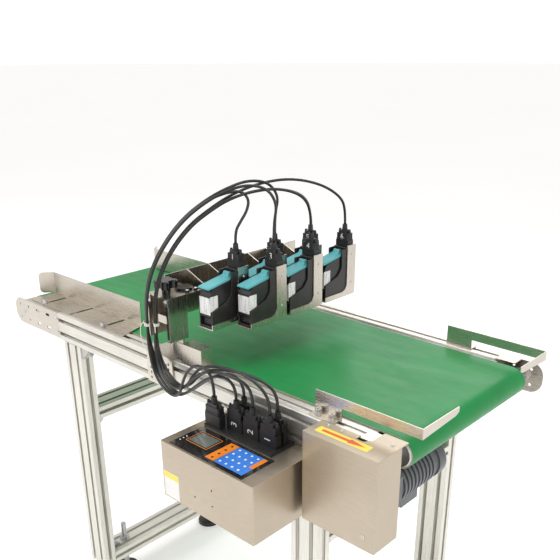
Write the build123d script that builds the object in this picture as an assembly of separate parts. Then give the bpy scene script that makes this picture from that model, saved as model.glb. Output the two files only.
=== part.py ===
from build123d import *
from math import cos, pi, radians, sin, tan
import os

# Egg-tray date coder: six cartridge print heads on a bridge over a small belt conveyor.
# Working frame: X along the belt from infeed to outfeed, Y away from the controller side, Z up.
# X = 0 at the infeed legs, Y = 0 at the near rail's outer face, Z = 0 on the floor.
# The finished parts are moved so that the origin is the centre of the footprint.

# ---- driving dimensions, in millimetres ----
RAIL_TOP = 690.0            # top of the side rails above the floor
RAIL_START = -12.0          # infeed end of the rails
RAIL_LENGTH = 806.0
TRACK = 430.0               # over the outer faces of the two rails
BAR_WIDE = 60.0             # T-slot extrusion, long side of the section
BAR_THIN = 30.0             # short side of the section
SLOT_OPENING = 8.0
SLOT_DEPTH = 8.5
LEG_PITCH = 659.0           # infeed legs to outfeed legs
LEG_BOTTOM = 60.0
CROSSBAR_DROP = 210.0       # rail top down to the upper crossbars' top
FOOT_INSET = 48.0           # leg's inner face to the foot's stud
FOOT_RADIUS = 29.0
STUD_RADIUS = 6.0

SHEET = 2.0                 # stainless sheet
THIN_SHEET = 1.5
GAP = 0.3                   # between parts that move on each other

BELT_WIDTH = 350.0
BELT_THICK = 1.7
BELT_DROP = 2.0             # belt's top below the rail's top
ROLLER_RADIUS = 23.0
AXLE_RADIUS = 6.0
RUN_CLEARANCE = 0.05        # radial, axle in bearing
TAIL_OVERHANG = 140.0       # rail's infeed end to the tail roller's axis
DRIVE_OVERHANG = 42.0       # rail's outfeed end to the drive roller's axis
END_PLATE_HEIGHT = 58.0
END_PLATE_NOSE = 40.0       # plate beyond the roller's axis

GUIDE_START = -135.0
GUIDE_LENGTH = 320.0
GUIDE_INSET = 73.0          # rail's outer face to the guide's wall
GUIDE_HEIGHT = 50.0
SCREW_RADIUS = 3.0

STOP_INSIDE_END = 104.0     # stop's start to the rail's end
STOP_LENGTH = 195.0
STOP_HEIGHT = 36.0
STOP_STRIP = 17.0
STOP_INSET = 24.5
STOP_WING = 94.0
STOP_FOOT = 52.0
STOP_SCREWS = (12.0, 40.0)  # thumb screws from the foot's start

POST_X = 335.0
POST_WIDTH = 60.0
POST_DEPTH = 42.0
POST_FRONT = 3.0
POST_BOTTOM = 30.0          # above the rail's top
POST_TOP = 113.0
BEAM_BOTTOM = 78.0
BEAM_BACK_TOP = 137.0
RIB_PITCH = 53.0

LANE_PITCH = 50.0
HEAD_BOTTOM = 67.0          # above the rail's top
HEAD_HEIGHT = 98.0
HEAD_DEPTH = 90.0
HEAD_WALL = 3.0
NOZZLE_BACK = 56.0          # head's front to its nozzles
BACK_ROW_X = 409.0
FRONT_ROW_X = 454.0
CARTRIDGE_WIDTH = 28.0
CARTRIDGE_DEPTH = 62.0
CARTRIDGE_HEIGHT = 70.0

CONTROLLER_X = 503.0
CONTROLLER_LENGTH = 208.0
CONTROLLER_DEPTH = 135.0
CONTROLLER_HEIGHT = 101.0
CONTROLLER_DROP = 57.0      # rail top to the controller's top
PLUG_WIDTH = 35.0
PLUG_THICK = 13.0
PLUG_SOCKET = 22.0          # height of a controller plug's socket
HEAD_SOCKET = 12.0          # height of a head plug's socket

COVER_BACK = 73.0           # cover's start to the rail's end
COVER_LENGTH = 137.0
COVER_FRONT = -42.0
COVER_DROP = 152.0
MOTOR_OVERHANG = 3.0        # rail's end to the motor's axis
MOTOR_DROP = 108.0
MOTOR_RADIUS = 35.0
MOTOR_LENGTH = 105.0
PULLEY_RADIUS = 14.0
CABLE_RADIUS = 2.5
CABLE_RISE = 18.0           # how far a cable leaves its controller plug straight up

FAR = TRACK - BAR_THIN      # far rail's inner face
MIDDLE = TRACK / 2
RAIL_END = RAIL_START + RAIL_LENGTH
RAIL_BOTTOM = RAIL_TOP - BAR_WIDE
TAIL_X = RAIL_START - TAIL_OVERHANG
DRIVE_X = RAIL_END + DRIVE_OVERHANG
COVER_X = RAIL_END - COVER_BACK
MOTOR_X = RAIL_END + MOTOR_OVERHANG
STOP_START = RAIL_END - STOP_INSIDE_END
BEAM_END = FAR
BELT_TOP = RAIL_TOP - BELT_DROP
ROLLER_Z = BELT_TOP - BELT_THICK - GAP - ROLLER_RADIUS
BELT_EDGE = MIDDLE - BELT_WIDTH / 2

parts = {}


# ---- helpers ----
def block(x0, x1, y0, y1, z0, z1):
    """A box between two corners."""
    size = Box(x1 - x0, y1 - y0, z1 - z0)
    return Pos((x0 + x1) / 2, (y0 + y1) / 2, (z0 + z1) / 2) * size


def rod(radius, start, end):
    """A cylinder between two points that lie on a line along X, Y or Z."""
    a, b = Vector(*start), Vector(*end)
    return Plane(origin=a, z_dir=b - a) * extrude(Circle(radius), (b - a).length)


def prism_y(points, y0, y1):
    """An outline of X, Z points, extruded from y0 to y1."""
    face = make_face(Polyline(*[(x, y0, z) for x, z in points], close=True))
    return extrude(face, amount=y1 - y0, dir=(0, 1, 0))


def prism_x(points, x0, x1):
    """An outline of Y, Z points, extruded from x0 to x1."""
    face = make_face(Polyline(*[(x0, y, z) for y, z in points], close=True))
    return extrude(face, amount=x1 - x0, dir=(1, 0, 0))


def prism_z(points, z0, z1):
    """An outline of X, Y points, extruded from z0 to z1."""
    face = make_face(Polyline(*[(x, y, z0) for x, y in points], close=True))
    return extrude(face, amount=z1 - z0, dir=(0, 0, 1))


def mirrored(shape):
    """The same piece on the other side of the belt."""
    return mirror(shape, about=Plane.XZ.offset(-MIDDLE))


def group(pieces):
    """Separate solids that share one node."""
    return Compound([solid for piece in pieces for solid in piece.solids()])


# ---- T-slot bars, legs and feet ----
def slot_outline(centre, face, turn):
    """One T-slot of the section, opening at a face."""
    half, lip, cave = SLOT_OPENING / 2, 2.0, SLOT_OPENING
    outline = [(-half, 0.1), (half, 0.1), (half, -lip), (cave, -lip), (cave, -lip - 2.5),
               (half + 0.5, -SLOT_DEPTH), (-half - 0.5, -SLOT_DEPTH), (-cave, -lip - 2.5),
               (-cave, -lip), (-half, -lip)]
    return Pos(*centre) * Rot(0, 0, turn) * Pos(0, face) * make_face(Polyline(*outline, close=True))


def bar(length):
    """A T-slot bar along Z, its long side along X."""
    section = RectangleRounded(BAR_WIDE, BAR_THIN, 1.5)
    slot_x = BAR_WIDE / 4
    for x in (-slot_x, slot_x):
        section -= slot_outline((x, 0), BAR_THIN / 2, 0)
        section -= slot_outline((x, 0), BAR_THIN / 2, 180)
        section -= Pos(x, 0) * Circle(3.4)
    section -= slot_outline((0, 0), BAR_WIDE / 2, 90)
    section -= slot_outline((0, 0), BAR_WIDE / 2, -90)
    section -= RectangleRounded(BAR_WIDE / 6, BAR_THIN * 0.6, 2)
    return extrude(section, length)


def rails():
    near = Pos(RAIL_START, BAR_THIN / 2, RAIL_TOP - BAR_WIDE / 2) * Rot(0, 90, 0) * bar(RAIL_LENGTH)
    return near, mirrored(near)


def legs():
    height = RAIL_BOTTOM - LEG_BOTTOM
    for x in (BAR_WIDE / 2, LEG_PITCH + BAR_WIDE / 2):
        near = Pos(x, BAR_THIN / 2, LEG_BOTTOM) * bar(height)
        yield near
        yield mirrored(near)


def crossbar(x, top):
    """A bar across the stand, lying flat, with clearance holes for the feet if it is a low one."""
    span = TRACK - 2 * BAR_THIN
    piece = Pos(x + BAR_WIDE / 2, BAR_THIN, top - BAR_THIN / 2) * Rot(-90, 0, 0) * bar(span)
    if top < RAIL_TOP / 2:
        for y in foot_places():
            piece -= rod(STUD_RADIUS + 0.5, (x + BAR_WIDE / 2, y, top - 40), (x + BAR_WIDE / 2, y, top + 1))
    return piece


def foot_places():
    return BAR_THIN + FOOT_INSET, FAR - FOOT_INSET


def foot(x, y):
    """Round rubber-faced pad, ball neck and threaded stud with its nuts."""
    pad = Pos(x, y, 0) * extrude(Circle(FOOT_RADIUS), 12)
    pad = fillet(pad.edges().group_by(Axis.Z)[-1], 5)
    neck = Pos(x, y, 12) * Cone(15, 9, 10, align=(Align.CENTER, Align.CENTER, Align.MIN))
    top = LEG_BOTTOM + BAR_THIN
    stud = rod(STUD_RADIUS, (x, y, 20), (x, y, top + 46))
    stud = chamfer(stud.edges().group_by(Axis.Z)[-1], 1)
    washer = rod(12, (x, y, top), (x, y, top + 2))
    nut = Pos(x, y, top + 2) * extrude(RegularPolygon(11, 6), 9)
    lower = Pos(x, y, LEG_BOTTOM - 10) * extrude(RegularPolygon(11, 6), 10)
    return pad + neck + stud + washer + nut + lower


def gusset(x, z, dx, dz, y):
    """Cast corner bracket in the corner at x, z, reaching along dx and dz."""
    leg, wall, width = 26.0, 4.0, 24.0
    outline = [(x, z), (x + dx * leg, z), (x + dx * leg, z + dz * wall),
               (x + dx * wall, z + dz * leg), (x, z + dz * leg)]
    solid = prism_y(outline, y - width / 2, y + width / 2)
    pocket = [(x + dx * wall, z + dz * wall), (x + dx * (leg + 1), z + dz * wall),
              (x + dx * wall, z + dz * (leg + 1))]
    return solid - prism_y(pocket, y - width / 2 + 3, y + width / 2 - 3)


def gusset_y(x, y, z, dy, dz):
    """The same bracket between a leg and a crossbar."""
    leg, wall, width = 26.0, 4.0, 24.0
    outline = [(y, z), (y + dy * leg, z), (y + dy * leg, z + dz * wall),
               (y + dy * wall, z + dz * leg), (y, z + dz * leg)]
    solid = prism_x(outline, x - width / 2, x + width / 2)
    pocket = [(y + dy * wall, z + dz * wall), (y + dy * (leg + 1), z + dz * wall),
              (y + dy * wall, z + dz * (leg + 1))]
    return solid - prism_x(pocket, x - width / 2 + 3, x + width / 2 - 3)


def corner_brackets():
    leg_x = (0, LEG_PITCH)
    found = []
    places = [(BAR_WIDE, 1), (LEG_PITCH, -1), (LEG_PITCH + BAR_WIDE, 1)]
    for x, dx in places:
        found.append(gusset(x, RAIL_BOTTOM, dx, -1, BAR_THIN / 2))
    for x in leg_x:
        middle = x + BAR_WIDE / 2
        found.append(gusset_y(middle, BAR_THIN, RAIL_TOP - CROSSBAR_DROP - BAR_THIN, 1, -1))
        found.append(gusset_y(middle, BAR_THIN, LEG_BOTTOM + BAR_THIN, 1, 1))
    return found + [mirrored(piece) for piece in found]


def cap_screw(tip, direction, length=10, radius=3.0, head=5.2):
    """Socket screw whose head rests on the plane through tip and points along direction."""
    d = Vector(*direction)
    top = Vector(*tip)
    shape = rod(head, top, top + d * 5)
    shape -= rod(2.4, top + d * 2.2, top + d * 6)
    return shape + rod(radius, top - d * length, top)


# ---- conveyor ----
def end_plate(axis_x, rail_x, reach):
    """Folded stainless plate that carries a roller's end, screwed to the rail's end face."""
    side = 1 if axis_x > rail_x else -1
    nose = axis_x + side * reach
    top, bottom = RAIL_TOP, RAIL_TOP - END_PLATE_HEIGHT
    low, high = min(nose, rail_x), max(nose, rail_x)
    plate = block(low, high, 0, SHEET, bottom, top)
    if reach > ROLLER_RADIUS:
        ends = plate.edges().filter_by(Axis.Y).sort_by(Axis.X)
        ends = ends[:2] if side < 0 else ends[-2:]
        plate = fillet(ends, END_PLATE_HEIGHT * 0.42)
    flange = block(min(rail_x, rail_x + side * SHEET), max(rail_x, rail_x + side * SHEET),
                   0, BAR_THIN, bottom, top)
    cap_end = axis_x - side * 4
    cap = block(min(rail_x, cap_end), max(rail_x, cap_end), 0, BAR_THIN - 2, top - SHEET, top)
    plate = plate + flange + cap
    screw_x = guide_slots()[0]
    plate -= rod(SCREW_RADIUS + 0.3, (screw_x, BAR_THIN / 2, top - 5), (screw_x, BAR_THIN / 2, top + 1))
    plate -= rod(AXLE_RADIUS + 2.2, (axis_x, -1, ROLLER_Z), (axis_x, SHEET + 1, ROLLER_Z))
    middle = (top + bottom) / 2
    for dx in (-17, 17):
        for dz in (-15, 15):
            if reach > ROLLER_RADIUS:
                plate -= rod(2.6, (axis_x + dx, -1, middle + dz), (axis_x + dx, SHEET + 1, middle + dz))
    return plate


def take_up_slots(rail_x, plate):
    """Four long holes where the tail roller is tensioned."""
    middle = RAIL_TOP - END_PLATE_HEIGHT / 2
    for x in (rail_x - 84, rail_x - 44):
        for dz in (-15, 15):
            slot = Pos(x, 0, middle + dz) * Rot(90, 0, 0) * extrude(SlotOverall(14, 6), 8, both=True)
            plate -= slot
    return plate


def bearing(axis_x):
    """Flanged bearing bush in an end plate."""
    body = rod(AXLE_RADIUS + 2.2, (axis_x, 0, ROLLER_Z), (axis_x, SHEET, ROLLER_Z))
    body += rod(14, (axis_x, SHEET, ROLLER_Z), (axis_x, SHEET + 9, ROLLER_Z))
    return body - rod(AXLE_RADIUS + RUN_CLEARANCE, (axis_x, -1, ROLLER_Z), (axis_x, 20, ROLLER_Z))


def roller(axis_x, near_end):
    """Crowned drum on its axle."""
    drum = rod(ROLLER_RADIUS, (axis_x, BELT_EDGE - 2, ROLLER_Z), (axis_x, TRACK - BELT_EDGE + 2, ROLLER_Z))
    drum = chamfer(drum.edges().filter_by(GeomType.CIRCLE), 2)
    axle = rod(AXLE_RADIUS, (axis_x, near_end, ROLLER_Z), (axis_x, TRACK + 1, ROLLER_Z))
    return drum + chamfer(axle.edges().filter_by(GeomType.CIRCLE), 0.8)


def loop(x0, z0, x1, z1, radius, thick, y0, y1):
    """A flat belt round two equal wheels."""
    run = Vector(x1 - x0, 0, z1 - z0)
    plane = Plane(origin=(x0, y0, z0), x_dir=run, z_dir=(0, 1, 0))
    length = run.length

    def stadium(r):
        return Pos(length / 2, 0) * SlotCenterToCenter(length, 2 * r)

    return plane * extrude(stadium(radius + thick) - stadium(radius), y1 - y0)


def slider_bed():
    """Folded sheet that carries the upper run of the belt between the rails."""
    start, end = TAIL_X + ROLLER_RADIUS + 12, DRIVE_X - ROLLER_RADIUS - 12
    top = BELT_TOP - BELT_THICK - GAP
    bed = block(start, end, BAR_THIN, FAR, top - SHEET, top)
    for y in (BAR_THIN, FAR - SHEET):
        bed += block(RAIL_START + 8, RAIL_END - 8, y, y + SHEET, top - 18, top)
    return bed


# ---- drive ----
def gearmotor():
    """Gearbox block, motor barrel and fan cowl on one axis along Y."""
    z = RAIL_TOP - MOTOR_DROP
    y = BAR_THIN + 5
    box = Pos(MOTOR_X, y + 16, z) * Box(66, 32, 66)
    box = chamfer(box.edges().filter_by(Axis.Y), 7)
    barrel = rod(MOTOR_RADIUS - 3, (MOTOR_X, y + 32, z), (MOTOR_X, y + 32 + MOTOR_LENGTH, z))
    for step in range(9):
        start = y + 38 + step * 10
        barrel += rod(MOTOR_RADIUS, (MOTOR_X, start, z), (MOTOR_X, start + 5, z))
    end = y + 32 + MOTOR_LENGTH
    cowl = rod(MOTOR_RADIUS, (MOTOR_X, end, z), (MOTOR_X, end + 22, z))
    cowl = fillet(cowl.edges().group_by(Axis.Y)[-1], 5)
    terminal = block(MOTOR_X - 18, MOTOR_X + 18, y + 55, y + 100, z - MOTOR_RADIUS - 14, z - MOTOR_RADIUS + 8)
    motor = box + barrel + cowl + terminal
    return motor - rod(AXLE_RADIUS + 0.6, (MOTOR_X, y - 1, z), (MOTOR_X, y + 12, z))


def motor_bracket():
    """Angle plate under the rail that holds the gearbox face."""
    z = RAIL_TOP - MOTOR_DROP
    plate = block(MOTOR_X - 45, MOTOR_X + 45, BAR_THIN, BAR_THIN + 5, z - 38, RAIL_BOTTOM)
    shelf = block(MOTOR_X - 45, RAIL_END, 0, BAR_THIN + 5, RAIL_BOTTOM - 5, RAIL_BOTTOM)
    hole = rod(AXLE_RADIUS + 3, (MOTOR_X, BAR_THIN - 1, z), (MOTOR_X, BAR_THIN + 6, z))
    return plate + shelf - hole


def toothed_pulley(x, z, y0, y1):
    """Small timing pulley with its two flanges and teeth."""
    wheel = rod(PULLEY_RADIUS, (x, y0, z), (x, y1, z))
    teeth = 16
    for n in range(teeth):
        angle = 2 * pi * n / teeth
        cx, cz = x + PULLEY_RADIUS * cos(angle), z + PULLEY_RADIUS * sin(angle)
        wheel -= rod(1.1, (cx, y0 - 1, cz), (cx, y1 + 1, cz))
    return wheel + rod(PULLEY_RADIUS - 4, (x, y1, z), (x, y1 + 5, z))


def drive_cover():
    """Open-backed guard over the timing belt, with a lid folded over the rail's edge."""
    x0, x1 = COVER_X, COVER_X + COVER_LENGTH
    y0, z0, z1 = COVER_FRONT, RAIL_TOP - COVER_DROP, RAIL_TOP + THIN_SHEET
    t = THIN_SHEET
    shell = block(x0, x1, y0, 0, z0, z1) - block(x0 + t, x1 - t, y0 + t, 1, z0 + t, z1 - t)
    side = block(x1 - t, x1, -1, BAR_THIN / 2, z0, z1)
    lid_edge = block(x0, RAIL_END, -1, 3, RAIL_TOP, z1)
    lid_end = block(RAIL_END + 22, x1, -1, BAR_THIN + 2, RAIL_TOP, z1)
    notch = [(RAIL_END + 1, 1), (RAIL_END + 20, 1), (RAIL_END + 14, -9), (RAIL_END + 1, -9)]
    return shell + side + lid_edge + lid_end - prism_z(notch, RAIL_TOP - 1, z1 + 1)


# ---- guides and stops ----
def bent_strip(points, z0, z1, thick):
    """A strip of sheet standing on edge along a line of X, Y points."""
    line = Polyline(*[(x, y, z0) for x, y in points])
    face = trace(line, thick)
    return extrude(face, amount=z1 - z0, dir=(0, 0, 1))


def infeed_guide():
    """Angle guide: slotted foot on the rail, upright wall and a flared lead-in wing."""
    z0 = RAIL_TOP + GAP
    x0, x1, y1 = GUIDE_START, GUIDE_START + GUIDE_LENGTH, GUIDE_INSET
    foot_plate = prism_z([(x0, 10), (x1 + 22, 8), (x1, y1), (x0, y1)], z0, z0 + THIN_SHEET)
    for x in guide_slots():
        slot = Pos(x, 39, z0) * Rot(0, 0, 90) * extrude(SlotOverall(58, 2 * SCREW_RADIUS + 1), 10, both=True)
        foot_plate -= slot
    wall = block(x0, x1, y1 - THIN_SHEET, y1, z0, z0 + GUIDE_HEIGHT)
    wing_line = [(x0 - 22, y1 - 27), (x0, y1 - THIN_SHEET / 2), (x0 + 6, y1 - THIN_SHEET / 2)]
    wing = bent_strip(wing_line, z0 + 3, z0 + GUIDE_HEIGHT, THIN_SHEET)
    corners = wing.edges().filter_by(lambda e: e.length < 2 * THIN_SHEET).group_by(Axis.X)[0]
    return foot_plate + wall + fillet(corners, 9)


def guide_slots():
    return GUIDE_START + 50, GUIDE_START + 155, GUIDE_START + 268


def thumb_screw(x, y, z, length=9):
    """Screw with a washer and a knurled head."""
    washer = rod(6, (x, y, z), (x, y, z + 1))
    head = rod(5, (x, y, z + 1), (x, y, z + 8))
    for n in range(12):
        angle = 2 * pi * n / 12
        cx, cy = x + 5.2 * cos(angle), y + 5.2 * sin(angle)
        head -= rod(0.6, (cx, cy, z + 0.5), (cx, cy, z + 9))
    head -= rod(1.6, (x, y, z + 5), (x, y, z + 9))
    return washer + head + rod(SCREW_RADIUS, (x, y, z - length), (x, y, z))


def guide_screws():
    """Thumb screws that stay on the rails while the guides slide under them."""
    z = RAIL_TOP + GAP + THIN_SHEET + GAP
    first, _, last = guide_slots()
    near = [thumb_screw(x, BAR_THIN / 2, z) for x in (first, last)]
    return near + [mirrored(screw) for screw in near]


def outfeed_stop():
    """Raised strip along the belt's edge, with a wing across the belt that stops a tray."""
    z0 = RAIL_TOP + GAP
    x0, x1, y1 = STOP_START, STOP_START + STOP_LENGTH, STOP_INSET
    top, strip = z0 + STOP_HEIGHT, z0 + STOP_HEIGHT - STOP_STRIP
    t = THIN_SHEET
    foot_plate = block(x0 + 2, x0 + STOP_FOOT, 5, y1, z0, z0 + t)
    for dx in STOP_SCREWS:
        foot_plate -= rod(SCREW_RADIUS + 0.3, (x0 + dx, BAR_THIN / 2, z0 - 1), (x0 + dx, BAR_THIN / 2, z0 + 3))
    outline = [(x0, z0), (x0 + STOP_FOOT, z0), (x0 + STOP_FOOT, strip), (x1, strip), (x1, top), (x0, top)]
    wall = prism_y(outline, y1 - t, y1)
    wing_shape = [(y1 - t, strip), (y1 + STOP_WING - 8, strip + 5), (y1 + STOP_WING, strip + 9),
                  (y1 + STOP_WING, top), (y1 - t, top)]
    wing = prism_x(wing_shape, x1 - t, x1)
    return foot_plate + wall + wing


def stop_screws():
    z = RAIL_TOP + GAP + THIN_SHEET
    return [thumb_screw(STOP_START + dx, BAR_THIN / 2, z) for dx in STOP_SCREWS]


# ---- print bridge ----
POST_LEFT = POST_X - POST_WIDTH / 2
POST_RIGHT = POST_X + POST_WIDTH / 2
POST_BACK = POST_FRONT + POST_DEPTH


def post_bracket():
    """Perforated plate on the rail's outer face, shelf on its top and a tongue for the post."""
    outer = block(POST_LEFT - 7, POST_RIGHT + 7, -3, 0, RAIL_BOTTOM, RAIL_TOP + 3)
    for x in (POST_LEFT + 4, POST_RIGHT - 4):
        for n in range(5):
            z = RAIL_TOP - 10 - n * 10
            outer -= rod(2.6, (x, -4, z), (x, 1, z))
    shelf = block(POST_LEFT - 7, POST_RIGHT + 7, -3, POST_BACK, RAIL_TOP, RAIL_TOP + 3)
    back = POST_BACK - SHEET - GAP
    tongue = block(POST_X - 20, POST_X + 20, back - 3, back, RAIL_TOP, RAIL_TOP + 75)
    nut_block = block(POST_X - 12, POST_X + 12, POST_FRONT + 8, back, RAIL_TOP + 60, RAIL_TOP + 75)
    bore = rod(4 + RUN_CLEARANCE, (POST_X, screw_y(), RAIL_TOP + 50), (POST_X, screw_y(), RAIL_TOP + 80))
    return outer + shelf + tongue + nut_block - bore


def screw_y():
    return POST_FRONT + POST_DEPTH / 2


def print_post():
    """Channel open towards the controller side, with a top plate and two screw ears."""
    t = SHEET
    z0, z1 = RAIL_TOP + POST_BOTTOM, RAIL_TOP + POST_TOP
    shell = block(POST_LEFT, POST_RIGHT, POST_FRONT, POST_BACK, z0, z1)
    shell -= block(POST_LEFT + t, POST_RIGHT - t, POST_FRONT - 1, POST_BACK - t, z0 - 1, z1 - t)
    shell -= rod(4 + RUN_CLEARANCE, (POST_X, screw_y(), z1 - 5), (POST_X, screw_y(), z1 + 5))
    for x in (POST_LEFT, POST_RIGHT - 12):
        shell += block(x, x + 12, POST_FRONT - t, POST_FRONT, z1 - 14, z1)
    return shell


def bridge_beam():
    """Tray-shaped beam across the belt: low front wall, tall back wall, sloping ribs."""
    t = SHEET
    y0, y1 = POST_BACK, BEAM_END
    low, front, back = RAIL_TOP + BEAM_BOTTOM, RAIL_TOP + POST_TOP, RAIL_TOP + BEAM_BACK_TOP
    beam = block(POST_LEFT, POST_RIGHT, y0, y1, low, low + t)
    beam += block(POST_RIGHT - t, POST_RIGHT, y0, y1, low, front)
    beam += block(POST_LEFT, POST_LEFT + t, y0, y1, low, back)
    beam += block(POST_LEFT, POST_RIGHT, y0, y0 + 36, front - t, front)
    count = int((y1 - y0 - 60) // RIB_PITCH) + 1
    for n in range(count):
        y = y0 + 52 + n * RIB_PITCH
        rib = [(POST_LEFT + t, low + t), (POST_RIGHT - t, low + t), (POST_RIGHT - t, front), (POST_LEFT + t, back)]
        beam += prism_y(rib, y, y + t)
    beam += block(POST_LEFT, POST_RIGHT, y1 - t, y1, low, front)
    return beam


def lift_screw():
    """Threaded spindle with a four-lobed knob, which raises and lowers the bridge."""
    z = RAIL_TOP + POST_TOP
    y = screw_y()
    spindle = rod(4, (POST_X, y, RAIL_TOP + 24), (POST_X, y, z + 12))
    collar = rod(8, (POST_X, y, z + GAP), (POST_X, y, z + 12))
    lobe = chamfer(extrude(Circle(7.5), 14).edges().group_by(Axis.Z)[-1], 2)
    knob = Pos(POST_X, y, z + 12) * extrude(Circle(13), 14)
    for n in range(4):
        angle = radians(45 + 90 * n)
        knob += Pos(POST_X + 14 * cos(angle), y + 14 * sin(angle), z + 12) * lobe
    return spindle + collar + knob


def pivot_disc():
    """Black clamp disc with two screws on the beam's root."""
    z = RAIL_TOP + POST_TOP
    y = POST_BACK + 18
    disc = rod(17, (POST_X + 2, y, z), (POST_X + 2, y, z + 5))
    disc = fillet(disc.edges().group_by(Axis.Z)[-1], 1.5)
    for dy in (-9, 11):
        disc += rod(4, (POST_X + 22, y + dy, z), (POST_X + 22, y + dy, z + 3.5))
    return disc


# ---- print heads ----
def heads():
    """X, Y of each head's low corner: odd lanes in the back row, even lanes in front."""
    for lane in range(6):
        x = BACK_ROW_X if lane % 2 == 0 else FRONT_ROW_X
        y = MIDDLE + (lane - 2.5) * LANE_PITCH - NOZZLE_BACK
        yield lane, x, y


HEAD_Z = RAIL_TOP + HEAD_BOTTOM
HOLDER_WIDTH = CARTRIDGE_WIDTH + 2 * HEAD_WALL


def head_holder(x, y):
    """Black cradle: two cut-away side walls, a rear tower for the plug and a floor."""
    w = HEAD_WALL
    wall = [(y + 2, HEAD_Z), (y + 2, HEAD_Z + 30), (y + 44, HEAD_Z + 42), (y + 50, HEAD_Z + 49),
            (y + 50, HEAD_Z + 92), (y + HEAD_DEPTH, HEAD_Z + 92), (y + HEAD_DEPTH, HEAD_Z)]
    holder = prism_x(wall, x, x + w) + prism_x(wall, x + HOLDER_WIDTH - w, x + HOLDER_WIDTH)
    tower = block(x, x + HOLDER_WIDTH, y + 2 + CARTRIDGE_DEPTH + 2, y + HEAD_DEPTH, HEAD_Z, HEAD_Z + HEAD_HEIGHT - 4)
    floor = block(x, x + HOLDER_WIDTH, y + 2, y + HEAD_DEPTH, HEAD_Z, HEAD_Z + 4)
    window = block(x + 9, x + HOLDER_WIDTH - 9, y + 40, y + 62, HEAD_Z - 1, HEAD_Z + 5)
    return holder + tower + floor - window


def side_plate(x, y):
    """Stainless angle on the head's outer side: strip up the back, strip along the foot."""
    x0 = x + HOLDER_WIDTH
    face = [(y, HEAD_Z), (y, HEAD_Z + 8), (y + 52, HEAD_Z + 8), (y + 61, HEAD_Z + 12), (y + 65, HEAD_Z + 20),
            (y + 65, HEAD_Z + HEAD_HEIGHT), (y + HEAD_DEPTH, HEAD_Z + HEAD_HEIGHT), (y + HEAD_DEPTH, HEAD_Z)]
    plate = prism_x(face, x0, x0 + SHEET)
    foot_plate = block(x - 2, x0 + SHEET, y, y + HEAD_DEPTH - 4, HEAD_Z - SHEET, HEAD_Z)
    window = block(x + 8, x + HOLDER_WIDTH - 8, y + 38, y + 64, HEAD_Z - 5, HEAD_Z + 1)
    return plate + foot_plate - window


def head_arm(lane, x, y):
    """Flat bar from the beam's front wall to the head, clear of the row between."""
    arm_y = y + HEAD_DEPTH - 16 if lane % 2 == 0 else y + LANE_PITCH - 8
    return block(POST_RIGHT, x, arm_y, arm_y + 6, HEAD_Z + 14, HEAD_Z + 40)


def cartridge(x, y):
    """Ink cartridge: body with a stepped snout, sloping lid with a finger tab."""
    x0 = x + HEAD_WALL + 0.4
    x1 = x + HOLDER_WIDTH - HEAD_WALL - 0.4
    z0 = HEAD_Z + 4 + GAP
    y0, y1 = y + 1, y + 1 + CARTRIDGE_DEPTH
    top = HEAD_Z + CARTRIDGE_HEIGHT
    outline = [(y0 + 6, z0), (y1, z0), (y1, top + 11), (y0 + 5, top + 2), (y0, top - 6), (y0, z0 + 16), (y0 + 6, z0 + 12)]
    body = prism_x(outline, x0, x1)
    lid = [(y0 - 2, top), (y0 + 5, top + 1), (y1, top + 10.5), (y1, top + 14.5), (y0 - 2, top + 4)]
    body += prism_x(lid, x0, x1)
    tab = [(y1 - 14, top + 11.5), (y1 - 5, top + 13), (y1 - 4, top + 21), (y1 - 9, top + 21)]
    return body + prism_x(tab, x0 + 7, x1 - 7)


def plug(x, y, z, width, thick, base):
    """D-shaped connector hood on its socket, stepped up to its cable neck."""
    top = z + base
    socket = Pos(x, y, z + base / 2) * Box(width, thick, base)
    hood = Pos(x, y, top) * extrude(RectangleRounded(width - 3, thick + 1, 2), 13)
    shoulder = Pos(x, y, top + 13) * extrude(RectangleRounded(width - 12, thick - 1, 2), 6)
    neck = Pos(x, y, top + 19) * extrude(Circle(4.6), HOOD_HEIGHT - 19)
    shape = socket + hood + shoulder + neck
    for dx in (-width / 2 + 3.5, width / 2 - 3.5):
        shape += rod(2.2, (x + dx, y, top + 8), (x + dx, y, top + 19))
    return shape


HOOD_HEIGHT = 30.0          # socket's top to the cable


def head_plug_place(x, y):
    return x + HOLDER_WIDTH / 2, y + HEAD_DEPTH - 12, HEAD_Z + HEAD_HEIGHT - 4


# ---- sensor box ----
def sensor_box():
    """Folded box on the rail that shields the tray sensor."""
    x0, x1 = POST_RIGHT + 9, POST_RIGHT + 83
    y0, z0, z1 = 2.0, RAIL_TOP, RAIL_TOP + 38
    t = THIN_SHEET
    front = block(x0, x1, y0, y0 + t, z0 + 8, z1) + block(x0 + 18, x1, y0, y0 + t, z0, z1)
    top = block(x0 + 22, x1, y0, y0 + 26, z1 - t, z1)
    end = block(x1 - t, x1, y0, y0 + 26, z0, z1)
    for n in range(5):
        z = z1 - 9 - n * 5
        end -= rod(1.6, (x1 - 5, y0 + 13, z), (x1 + 1, y0 + 13, z))
    tie = block(POST_RIGHT + 7, x0 + t, y0, y0 + t, z0 + 8, z0 + 30)
    base = block(x0 + 18, x1, y0, y0 + 26, z0, z0 + t)
    return front + top + end + tie + base


def sensor_eye():
    """Small photo sensor inside the box, looking at the tray."""
    x, z = POST_RIGHT + 52, RAIL_TOP + THIN_SHEET
    body = block(x - 9, x + 9, 8, 26, z, z + 24)
    return body + rod(5, (x, 26, z + 15), (x, 29, z + 15))


# ---- controller ----
CONTROLLER_TOP = RAIL_TOP - CONTROLLER_DROP
CONTROLLER_FRONT = -3 - CONTROLLER_DEPTH
CONTROLLER_END = CONTROLLER_X + CONTROLLER_LENGTH


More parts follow.
